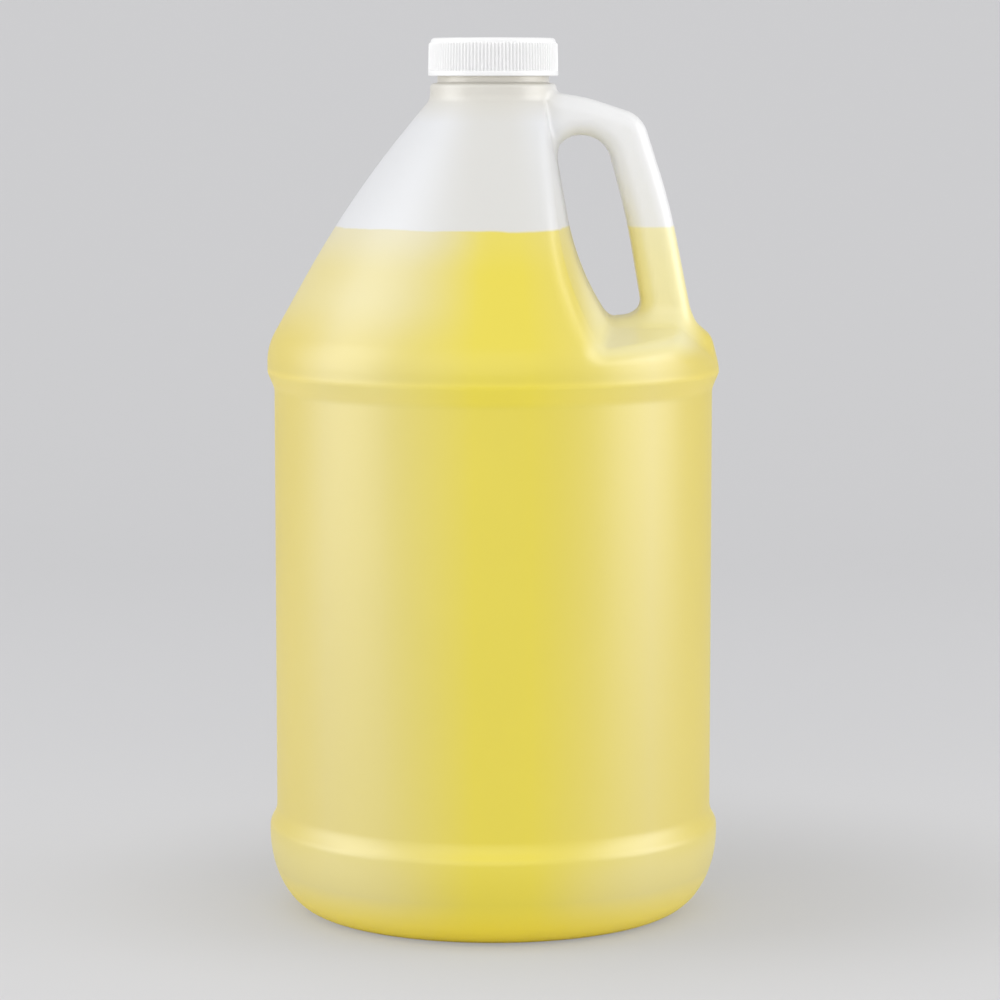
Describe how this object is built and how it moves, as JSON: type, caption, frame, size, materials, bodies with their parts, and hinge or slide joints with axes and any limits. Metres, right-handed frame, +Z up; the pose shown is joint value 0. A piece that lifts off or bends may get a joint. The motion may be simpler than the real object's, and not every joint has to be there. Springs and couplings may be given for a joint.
{
  "type": "dish soap jug",
  "caption": "Round blow-moulded gallon jug with a hollow side handle, a ribbed screw cap with its liner, and yellow soap inside.",
  "frame": {"origin": "on the bottle's axis, in the plane of its standing ring", "axes": "+Z up along the bottle's axis to the cap; +X towards the handle"},
  "size_m": [0.1542, 0.154, 0.2984],
  "materials": {
    "natural_hdpe": "satin, milky and see-through to light, natural HDPE",
    "yellow_soap": "clear yellow liquid",
    "white_pp": "satin white moulded polypropylene",
    "foam_liner": "dull off-white foam"
  },
  "bodies": {
    "jug": {"jug_body": "natural_hdpe", "soap_fill": "yellow_soap"},
    "liner": {"cap_liner": "foam_liner"},
    "cap": {"cap": "white_pp"}
  },
  "joints": [
    {"name": "cap_lift", "type": "slide", "parent": "jug", "child": "liner", "axis": [0, 0, 1], "range_m": [0, 0.0127]},
    {"name": "cap_turn", "type": "hinge", "parent": "liner", "child": "cap", "pos_m": [0, 0, 0.29], "axis": [0, 0, 1], "range_deg": [0, 1080]}
  ],
  "couplings": [
    {"joint": "cap_lift", "follows": "cap_turn", "m_per_rad": 0.0006737}
  ]
}
